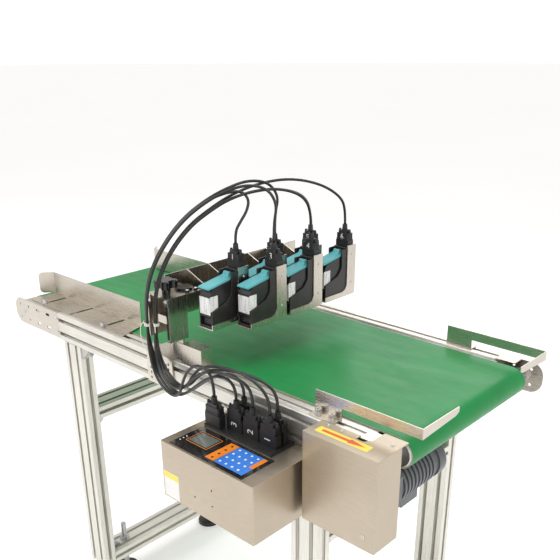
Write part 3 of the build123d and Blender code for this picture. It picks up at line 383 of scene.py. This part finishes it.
def plate(target, outline, low, high, axis="X"):
    """Adds an outline extruded from low to high; outline in the other two axes, in order."""
    def corner(u, v, depth):
        return {"X": (depth, u, v), "Y": (u, depth, v), "Z": (u, v, depth)}[axis]
    ends = [[target.verts.new(at(*corner(u, v, depth))) for u, v in outline] for depth in (low, high)]
    target.faces.new(ends[0])
    target.faces.new(ends[1])
    count = len(outline)
    for n in range(count):
        m = (n + 1) % count
        target.faces.new((ends[0][n], ends[0][m], ends[1][m], ends[1][n]))


def turned(target, centre, axis, profile, steps=28):
    """Adds a turned shape: profile gives (distance along axis, radius) in millimetres."""
    along = Vector(axis).normalized()
    side = along.orthogonal().normalized()
    other = along.cross(side)
    rings = []
    for distance, radius in profile:
        middle = Vector(centre) + along * distance
        ring = []
        for n in range(steps):
            angle = 2 * math.pi * n / steps
            spot = middle + (side * math.cos(angle) + other * math.sin(angle)) * radius
            ring.append(target.verts.new(at(*spot)))
        rings.append(ring)
    for a, b in zip(rings, rings[1:]):
        for n in range(steps):
            m = (n + 1) % steps
            target.faces.new((a[n], a[m], b[m], b[n]))
    target.faces.new(rings[0])
    target.faces.new(rings[-1])


def smooth(piece):
    piece.data.polygons.foreach_set("use_smooth", [True] * len(piece.data.polygons))
    return piece


def screw_heads(name, body, places, radius, height):
    """Pan-head screws with a drive recess, each at a place and along a direction."""
    target = bmesh.new()
    for centre, axis in places:
        profile = [(-0.4, radius), (height * 0.45, radius), (height * 0.85, radius * 0.82),
                   (height, radius * 0.5), (height * 0.55, radius * 0.42), (height * 0.4, 0.05)]
        turned(target, centre, axis, profile, 18)
    smooth(finish_mesh(name, target, body, SCREW_STEEL))


def digit(name, text, centre, body, size, turned_by=0.0):
    """A printed channel number on a plug's face towards the controller side; its size in millimetres."""
    letters = bpy.data.curves.new(name, "FONT")
    letters.body = text
    letters.size = size / 1000
    letters.align_x = "CENTER"
    letters.align_y = "CENTER"
    letters.extrude = 0.00008
    source = bpy.data.objects.new(name, letters)
    flat = bpy.data.meshes.new_from_object(source)
    bpy.data.objects.remove(source)
    facing = Matrix.Rotation(math.pi / 2, 4, "X") @ Matrix.Rotation(math.radians(turned_by), 4, "Z")
    flat.transform(Matrix.Translation(at(*centre)) @ facing)
    piece = bpy.data.objects.new(name, flat)
    flat.materials.clear()
    flat.materials.append(WHITE_INK)
    bpy.context.scene.collection.objects.link(piece)
    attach(piece, body)


# ---- camera and light ----
VIEW_FROM = at(1358.0, -764.1, 1210.5)
VIEW_TURN, VIEW_DROP, VIEW_ROLL = 42.68, 23.22, -0.13  # degrees
lens = bpy.data.cameras.new("photo_view")
lens.sensor_width = 36
lens.lens = 47.67
lens.shift_x = -0.0142
lens.shift_y = 0.150
lens.clip_start = 0.01
camera = bpy.data.objects.new("photo_view", lens)
bpy.context.scene.collection.objects.link(camera)
turn, tilt, roll = [Matrix.Rotation(math.radians(angle), 4, axis)
                    for angle, axis in ((VIEW_TURN, "Z"), (90 - VIEW_DROP, "X"), (VIEW_ROLL, "Z"))]
camera.matrix_world = Matrix.Translation(VIEW_FROM) @ (turn @ tilt) @ roll
bpy.context.scene.camera = camera


def softbox(name, spot, target, size, power, tint=(1, 1, 1)):
    light = bpy.data.lights.new(name, "AREA")
    light.shape = "RECTANGLE"
    light.size, light.size_y = size
    light.energy = power
    light.color = tint
    holder = bpy.data.objects.new(name, light)
    bpy.context.scene.collection.objects.link(holder)
    holder.location = spot
    holder.rotation_euler = (Vector(target) - Vector(spot)).to_track_quat("-Z", "Y").to_euler()
    holder.visible_camera = False


softbox("key", (-1.4, -1.6, 2.9), (0, 0, 0.7), (1.8, 1.8), 34)
softbox("fill", (2.6, -0.6, 1.7), (0, 0, 0.6), (1.6, 1.6), 15, (1, 0.97, 0.93))
softbox("back", (-0.6, 2.6, 2.4), (0, 0, 0.7), (2.2, 1.2), 20)
softbox("top", (0.2, 0.1, 3.2), (0, 0, 0.7), (1.6, 1.2), 14)

world = bpy.data.worlds.new("studio")
bpy.context.scene.world = world
world.use_nodes = True
sky = world.node_tree
direction = sky.nodes.new("ShaderNodeTexCoord")
up = sky.nodes.new("ShaderNodeSeparateXYZ")
sky.links.new(direction.outputs["Generated"], up.inputs["Vector"])
# White up to just above the horizon, a dull band that metal reflects, and a pale ceiling.
studio = ramp(sky, spread(sky, up.outputs["Z"], 0, 1, -0.2, 1.0),
              [(0.0, (1.0, 1.0, 1.0)), (0.22, (1.0, 1.0, 1.0)), (0.5, (0.66, 0.64, 0.61)),
               (1.0, (0.95, 0.95, 0.95))])
sky.links.new(studio, sky.nodes["Background"].inputs["Color"])
SKY_STRENGTH = 1.05
sky.nodes["Background"].inputs["Strength"].default_value = SKY_STRENGTH

FLOOR_RADIUS = 60000
ground = bmesh.new()
turned(ground, (-SHIFT.x, -SHIFT.y, 0), UPWARD, [(-20, FLOOR_RADIUS), (-0.05, FLOOR_RADIUS)], 64)
floor = finish_mesh("floor", ground, None, FLOOR)

bpy.context.scene.view_settings.view_transform = "Standard"

# ---- cables ----
# Each cable: its length in metres, and its route's points from the controller's plug to the head's plug.
CABLE_RADIUS = 0.0025
CABLES = [
    (0.772, [
     (574.5, -36.5, 690), (574.5, -36.5, 708), (560, -37, 723), (533, -38, 721), (506, -39, 707),
     (480, -39, 687), (455, -39, 666), (430, -39, 652), (399, -35, 653), (368, -29, 665),
     (346, -23, 686), (332, -20, 718), (330, -20, 762), (332, -18, 810), (338, -6, 856),
     (349, 19, 900), (365, 49, 938), (384, 83, 965), (403, 112, 978), (418, 138, 980),
     (427, 147, 964), (428, 139, 945), (427, 124, 929), (426, 112, 914), (426, 112, 893.3)]),
    (0.803, [
     (537, -50, 690), (537, -50, 708), (527, -50, 732), (500, -50, 735), (475, -50, 719),
     (459, -50, 693), (450, -49, 669), (430, -45.5, 652), (399, -41.5, 653), (368, -35.5, 665),
     (348, -29.2, 686), (336, -25.2, 718), (335.7, -23.4, 762), (337.7, -21.4, 810),
     (343.7, -9.4, 856), (354.7, 15.6, 900), (370.7, 45.6, 938), (389.7, 79.6, 965),
     (412, 106, 983), (440, 132, 994), (464, 157, 986), (474, 168, 958), (471, 162, 926),
     (471, 162, 893.3)]),
    (0.834, [
     (574.5, -19, 690), (574.5, -19, 708), (558, -20, 722), (532, -22, 720), (506, -25, 706),
     (480, -28, 687), (455, -31, 666), (430, -32.5, 652), (399, -28.5, 653), (368, -22.5, 665),
     (344, -16.8, 686), (328, -14.8, 718), (324.3, -16.6, 762), (326.3, -14.6, 810),
     (332.3, -2.6, 856), (343.3, 22.4, 900), (359.3, 52.4, 938), (378.3, 86.4, 965),
     (399, 118, 984), (413, 158, 995), (425, 198, 988), (430, 219, 960), (426, 212, 928),
     (426, 212, 893.3)]),
    (0.868, [
     (612, -36.5, 690), (612, -36.5, 708), (603, -38, 726), (577, -42, 734), (541, -44, 732),
     (507, -44, 722), (478, -44, 702), (458, -44, 680), (436, -43.5, 668), (408, -38.5, 667),
     (379, -32.5, 676), (359, -25.2, 692), (348, -19.2, 720), (347.7, -12.4, 762),
     (348.7, -11.4, 804), (354.7, -0.4, 848), (364.7, 22.6, 890), (378.7, 52.6, 926),
     (394.7, 82.6, 949), (414, 112, 969), (440, 154, 982), (460, 200, 980), (471, 243, 962),
     (471, 262, 928), (471, 262, 893.3)]),
    (0.934, [
     (649.5, -36.5, 690), (649.5, -36.5, 708), (637, -37, 728), (606, -37, 740), (566, -37, 742),
     (526, -37, 736), (491, -37, 723), (469, -37, 701), (456, -37, 681), (436, -37, 668),
     (408, -32, 667), (379, -26, 676), (357, -19, 692), (344, -14, 720), (342, -9, 762),
     (343, -8, 804), (349, 3, 848), (359, 26, 890), (373, 56, 926), (389, 86, 949),
     (403, 124, 967), (413, 176, 974), (420, 232, 972), (427, 285, 956), (426, 312, 926),
     (426, 312, 893.3)]),
    (0.994, [
     (649.5, -19, 690), (649.5, -19, 708), (640, -20, 726), (612, -22, 734), (574, -25, 735),
     (534, -28, 729), (498, -30, 717), (474, -31, 698), (457, -31, 680), (436, -30.5, 668),
     (408, -25.5, 667), (379, -19.5, 676), (355, -12.8, 692), (340, -8.8, 720), (336.3, -5.6, 762),
     (337.3, -4.6, 804), (343.3, 6.4, 848), (353.3, 29.4, 890), (367.3, 59.4, 926),
     (383.3, 89.4, 949), (396, 131, 971), (414, 188, 987), (435, 248, 990), (456, 308, 974),
     (470, 350, 946), (471, 362, 919), (471, 362, 893.3)]),
]


def route(name, points):
    """Points read along the route's NURBS line."""
    curve = bpy.data.curves.new(name, "CURVE")
    curve.dimensions = "3D"
    curve.resolution_u = 10
    spline = curve.splines.new("NURBS")
    spline.points.add(len(points) - 1)
    for control, point in zip(spline.points, points):
        control.co = (*at(*point), 1)
    spline.order_u = 3
    spline.use_endpoint_u = True
    holder = bpy.data.objects.new(name, curve)
    line = bpy.data.meshes.new_from_object(holder)
    spots = [vertex.co.copy() for vertex in line.vertices]
    bpy.data.objects.remove(holder)
    bpy.data.curves.remove(curve)
    bpy.data.meshes.remove(line)
    return spots


def tube(name, spots, radius, finish, sides=14):
    """A closed tube of mesh along points."""
    target = bmesh.new()
    rings = []
    side = (spots[1] - spots[0]).orthogonal().normalized()
    for n, spot in enumerate(spots):
        ahead = (spots[min(n + 1, len(spots) - 1)] - spots[max(n - 1, 0)]).normalized()
        side = (side - ahead * side.dot(ahead)).normalized()
        other = ahead.cross(side)
        ring = []
        for k in range(sides):
            angle = 2 * math.pi * k / sides
            ring.append(target.verts.new(spot + (side * math.cos(angle) + other * math.sin(angle)) * radius))
        rings.append(ring)
    for a, b in zip(rings, rings[1:]):
        for k in range(sides):
            m = (k + 1) % sides
            target.faces.new((a[k], a[m], b[m], b[k]))
    target.faces.new(rings[0])
    target.faces.new(rings[-1])
    return smooth(finish_mesh(name, target, None, finish))


for number, (length, points) in enumerate(CABLES, 1):
    spots = route(f"route_{number}", points)
    cable = tube(f"cable_{number}", spots, CABLE_RADIUS, CABLE)
    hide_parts(f"head_cable_{number}")
    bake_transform(cable)

# ---- print heads ----
# Lane, x and y of each head's corner, and the channel number on its plug.
HEADS = [(1, 409, 34, "1"), (2, 454, 84, "3"), (3, 409, 134, "2"),
         (4, 454, 184, "4"), (5, 409, 234, "5"), (6, 454, 284, "6")]
HEAD_DIGIT, CONTROLLER_DIGIT = 16, 18
z = HEAD_Z
holders = bmesh.new()
for _, x, y, _ in HEADS:
    wall = rounded([(y + 2, z), (y + 2, z + 31), (y + 40, z + 43), (y + 50, z + 56), (y + 50, z + 92),
                    (y + 90, z + 92), (y + 90, z)], [2, 5, 14, 12, 3, 2, 2])
    plate(holders, wall, x, x + 3)
    plate(holders, wall, x + HOLDER - 3, x + HOLDER)
    plate(holders, rounded([(y + 66, z), (y + 66, z + 93.5), (y + 90, z + 93.5), (y + 90, z)], [0, 2, 2, 0]),
          x + 0.3, x + HOLDER - 0.3)
    for near, far in ((2.4, 40), (62, 88)):
        plate(holders, [(y + near, z + 0.2), (y + near, z + 3.9), (y + far, z + 3.9), (y + far, z + 0.2)],
              x + 0.4, x + HOLDER - 0.4)
holder_piece = finish_mesh("holder_shells", holders, "bridge", HOLDER_BLACK, 0.0005)
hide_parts("head_holders")

for lane, x, y, channel in HEADS:
    body = f"cartridge_{lane}"
    x0, x1 = x + 3.4, x + HOLDER - 3.4
    y0, y1, z0, top = y + 1, y + 63, z + 4.3, z + 70
    shell = bmesh.new()
    plate(shell, rounded([(y0 + 6, z0), (y1, z0), (y1, top + 10.6), (y0 + 8, top + 1.2), (y0, top - 13),
                          (y0, z0 + 16), (y0 + 6, z0 + 12)], [1, 1, 1, 9, 12, 2, 1]), x0, x1)
    case = finish_mesh(f"cartridge_body_{lane}", shell, body, CARTRIDGE_BLACK, 0.0009, 3, 50)
    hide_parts(f"ink_cartridge_{lane}")
    lid = bmesh.new()
    plate(lid, rounded([(y0 - 2, top + 0.4), (y1, top + 10.8), (y1, top + 14.3), (y0 - 2, top + 3.6)],
                       [0.8, 0.8, 0.8, 0.8]), x0, x1)
    tab = [(y1 - 24, top + 10), (y1 - 8, top + 12.6), (y1 - 4.5, top + 20.6), (y1 - 9.5, top + 20.6),
           (y1 - 13, top + 14)]
    plate(lid, rounded(tab, [0.3, 0.3, 1.2, 1.2, 4]), x0 + 6.5, x1 - 6.5)
    rib = [(y1 - 17, top + 11), (y1 - 1, top + 13.6), (y1 - 1, top + 16.2), (y1 - 15, top + 14)]
    for dx in (4.0, 20.5):
        plate(lid, rounded(rib, [0.3, 0.3, 0.9, 0.9]), x0 + dx, x0 + dx + 2.4)
    finish_mesh(f"cartridge_lid_{lane}", lid, body, TEAL, 0.0005)
    label = bmesh.new()
    plate(label, [(x0 + 0.2, z + 25), (x1 - 0.2, z + 25), (x1 - 0.2, z + 56), (x0 + 0.2, z + 56)],
          y0 - 0.18, y0 + 0.1, "Y")
    plate(label, [(y0 + 0.2, z + 31), (y0 + 18, z + 34), (y0 + 18, z + 58), (y0 + 0.2, z + 58)],
          x1 - 0.1, x1 + 0.18)
    finish_mesh(f"cartridge_label_{lane}", label, body, INK_LABEL)
    digit(f"head_channel_{lane}", channel, (x + HOLDER / 2, y + HEAD_PLUG_Y - 8.6, HEAD_PLUG_Z + 18.6),
          "bridge", HEAD_DIGIT)

# ---- plug fittings ----
def plug_fitting(name, spots, width, depth, body):
    """Two grip bands, edge ribs, two screws and a ribbed boot on each plug hood."""
    target = bmesh.new()
    for x, y, z in spots:
        band = rectangle(x - width / 2 + 1, x + width / 2 - 1, y - depth / 2 - 1.3, y + depth / 2 + 1.3, 1.5)
        for dz in (12.6, 15.4):
            plate(target, band, z + dz - 1, z + dz, "Z")
        for side in (-1, 1):
            edge = x + side * (width / 2 - 1.6)
            for dz in (17, 19.4, 21.8):
                plate(target, rectangle(edge - 1.1, edge + 1.1, y - 5.4, y + 5.4, 0.5),
                      z + dz, z + dz + 1.3, "Z")
            turned(target, (x + side * (width / 2 - 3.5), y, z + 24), UPWARD,
                   [(0, 2.9), (5.5, 2.9), (6.2, 2.3), (8, 2.3), (8.6, 1.6)], 14)
        turned(target, (x, y, z + 31), UPWARD,
               [(-0.5, 5.6), (1.6, 5.6), (1.9, 4.9), (3.4, 4.9), (3.7, 5.3), (5.2, 5.3), (5.5, 4.6), (7, 4.6),
                (7.3, 4.9), (8.6, 4.9), (8.9, 4.1), (10.9, 3.6)], 20)
    finish_mesh(name, target, body, BLACK, 0.0003)


head_plugs = [(x + HOLDER / 2, y + HEAD_PLUG_Y, HEAD_PLUG_Z) for _, x, y, _ in HEADS]
plug_fitting("head_plug_fittings", head_plugs, HOLDER - 4, 16, "bridge")
# The first three stand in the row that shows, and are numbered.
controller_plugs = [(x, y, CONTROLLER_PLUG_Z) for x, y in
                    ((649.5, -36.5), (612, -36.5), (574.5, -36.5), (649.5, -19), (574.5, -19), (537, -50))]
plug_fitting("controller_plug_fittings", controller_plugs, 35, 13, "frame")
for n, (x, y, z) in enumerate(controller_plugs[:3], 1):
    digit(f"controller_channel_{n}", str(n), (x, y - 6.6, z + 1.5), "frame", CONTROLLER_DIGIT, 90)

# ---- controller panel ----
PANEL_TOP = CASE_TOP + 1


def film(name, outline, level, finish, height=0.25):
    """A thin printed field that lies on the panel."""
    target = bmesh.new()
    plate(target, outline, level, level + height, "Z")
    finish_mesh(name, target, "frame", finish)


film("display_frame", rectangle(533, 582, -111, -74, 2), PANEL_TOP, ORANGE_KEYS, 0.15)
film("display_border", rectangle(534, 581, -110, -75, 2), PANEL_TOP, KNOB_BLACK, 0.25)
film("display", rectangle(536.5, 578.5, -107.5, -77.5, 1), PANEL_TOP, DISPLAY, 0.35)
film("function_keys", rectangle(596, 615, -126, -70, 0.6), PANEL_TOP, ORANGE_KEYS)
film("number_keys", rectangle(616, 677, -126, -70, 0.6), PANEL_TOP, BLUE_KEYS)
film("enter_key", rectangle(668.5, 677, -103, -70, 0.6), PANEL_TOP, ORANGE_KEYS, 0.32)
dots = bmesh.new()
for n in range(4):
    middle = -119 + n * 14
    turned(dots, (605.5, middle, PANEL_TOP + 0.2), UPWARD, [(0, 2.2), (0.16, 2.2)], 16)
finish_mesh("function_marks", dots, "frame", KNOB_BLACK)
keys = bmesh.new()
marks = bmesh.new()
for row in range(4):
    for column in range(4):
        x, y = 623 + column * 13.2, -119 + row * 14
        plate(keys, rectangle(x - 5, x + 5, y - 5.4, y + 5.4, 1.4), PANEL_TOP + 0.2, PANEL_TOP + 0.5, "Z")
        turned(marks, (x, y, PANEL_TOP + 0.48), UPWARD, [(0, 2.1), (0.12, 2.1)], 12)
finish_mesh("number_key_pads", keys, "frame", BLUE_KEYS, 0.0001)
finish_mesh("number_key_marks", marks, "frame", WHITE_INK)
indicator = bmesh.new()
for n in range(3):
    turned(indicator, (526, -116 + n * 7, PANEL_TOP), UPWARD, [(0, 1.3), (0.25, 1.3)], 12)
finish_mesh("panel_indicators", indicator, "frame", PAPER)

# ---- controller case and drive cover fittings ----
# Painted shade: the vent slots are flat black strips on the case end. Their black stands for the shade inside
# the slots.
vent_shade = bmesh.new()
for n in range(7):
    z = 552 + n * 8
    plate(vent_shade, rectangle(-100, -44, z, z + 3, 1.4), CASE_END - 0.25, CASE_END + 0.1)
finish_mesh("case_vent_shade_strips", vent_shade, "frame", KNOB_BLACK)
rating = bmesh.new()
plate(rating, rectangle(507, 543, 534, 580), CASE_FRONT - 0.12, CASE_FRONT + 0.05, "Y")
finish_mesh("case_plate", rating, "frame", PAPER)
rating_band = bmesh.new()
plate(rating_band, rectangle(507.5, 542.5, 569, 579.5, 0), CASE_FRONT - 0.2, CASE_FRONT - 0.05, "Y")
finish_mesh("case_plate_band", rating_band, "frame", YELLOW_FILM)

sticker = bmesh.new()
plate(sticker, rectangle(733, 829, -30, -13, 1.2), COVER_TOP, COVER_TOP + 0.22, "Z")
finish_mesh("direction_label", sticker, "frame", YELLOW_FILM)
arrow = bmesh.new()
plate(arrow, [(742, -24.5), (792, -24.5), (792, -27.5), (821, -21.5), (792, -15.5), (792, -18.5),
              (742, -18.5)], COVER_TOP + 0.2, COVER_TOP + 0.32, "Z")
finish_mesh("direction_arrow", arrow, "frame", RED_FILM)
cover_screws = [((x, y, COVER_TOP), UPWARD) for x, y in ((740, -5), (765, -5), (845, 10))]
screw_heads("cover_screws", "frame", cover_screws + [((838, -42, 560), FRONT)], 3.0, 1.5)

# ---- post, disc, brackets and guides: fasteners ----
post_front = [((x, 1, 797), FRONT) for x in (311, 359)]
screw_heads("post_screws", "bridge", post_front, 3.4, 1.8)
screw_heads("disc_screws", "bridge", [((357, y, 806.3), UPWARD) for y in (54, 74)], 3.4, 1.3)
plate_screws = [((x, -3, z), FRONT) for x in (318, 352) for z in (645, 675)]
screw_heads("bracket_screws", "frame", plate_screws, 3.6, 2.0)
head_screws = [((x + HOLDER + 2, y + HEAD_PLUG_Y, HEAD_Z + dz), (1, 0, 0))
               for _, x, y, _ in HEADS for dz in (24, 80)]
screw_heads("side_plate_screws", "bridge", head_screws, 2.4, 0.9)
gusset_screws = []
for leg_x in (30, 689):
    for y, inward in ((30, 1), (400, -1)):
        gusset_screws.append(((leg_x, y + inward * 4, 437), (0, inward, 0)))
        gusset_screws.append(((leg_x, y + inward * 4, 103), (0, inward, 0)))
for x, outward in ((60, 1), (659, -1), (719, 1)):
    for y in (15, 415):
        gusset_screws.append(((x + outward * 4, y, 617), (outward, 0, 0)))
screw_heads("gusset_screws", "frame", gusset_screws, 4.2, 2.6)
# The far heads are lower, so that they stay inside the CAD's box.
for name, y, axis, height in (("end_plate_screws", 0, FRONT, 2.0),
                              ("far_end_plate_screws", 430, (0, 1, 0), 0.9)):
    screw_heads(name, "frame", [((-20, y, z), axis) for z in (646, 676)], 3.6, height)

# ---- motor details ----
MOTOR_AXIS_X, MOTOR_AXIS_Z, MOTOR_SCREW_CIRCLE = 797, 582, 27
motor_screws = bmesh.new()
for step in range(4):
    angle = math.pi / 4 + step * math.pi / 2
    middle = (MOTOR_AXIS_X + MOTOR_SCREW_CIRCLE * math.cos(angle), 172,
              MOTOR_AXIS_Z + MOTOR_SCREW_CIRCLE * math.sin(angle))
    turned(motor_screws, middle, (0, 1, 0), [(21, 2.4), (22.2, 2.4), (22.6, 1.6)], 12)
finish_mesh("motor_screws", motor_screws, "frame", SCREW_STEEL)

# ---- cable tie tails ----
TAIL_RADIUS = 0.0009
TAILS = [
    [(341, -27, 758), (338, -33, 766), (334, -37, 757), (333, -38, 742), (337, -38, 728), (342, -36, 716)],
    [(351, -17, 757), (356, -22, 764), (361, -26, 758), (362, -27, 748)],
]
for n, points in enumerate(TAILS, 1):
    strap = tube(f"tie_tail_{n}", route(f"tail_{n}", points), TAIL_RADIUS, NYLON, 8)
    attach(strap, "frame")
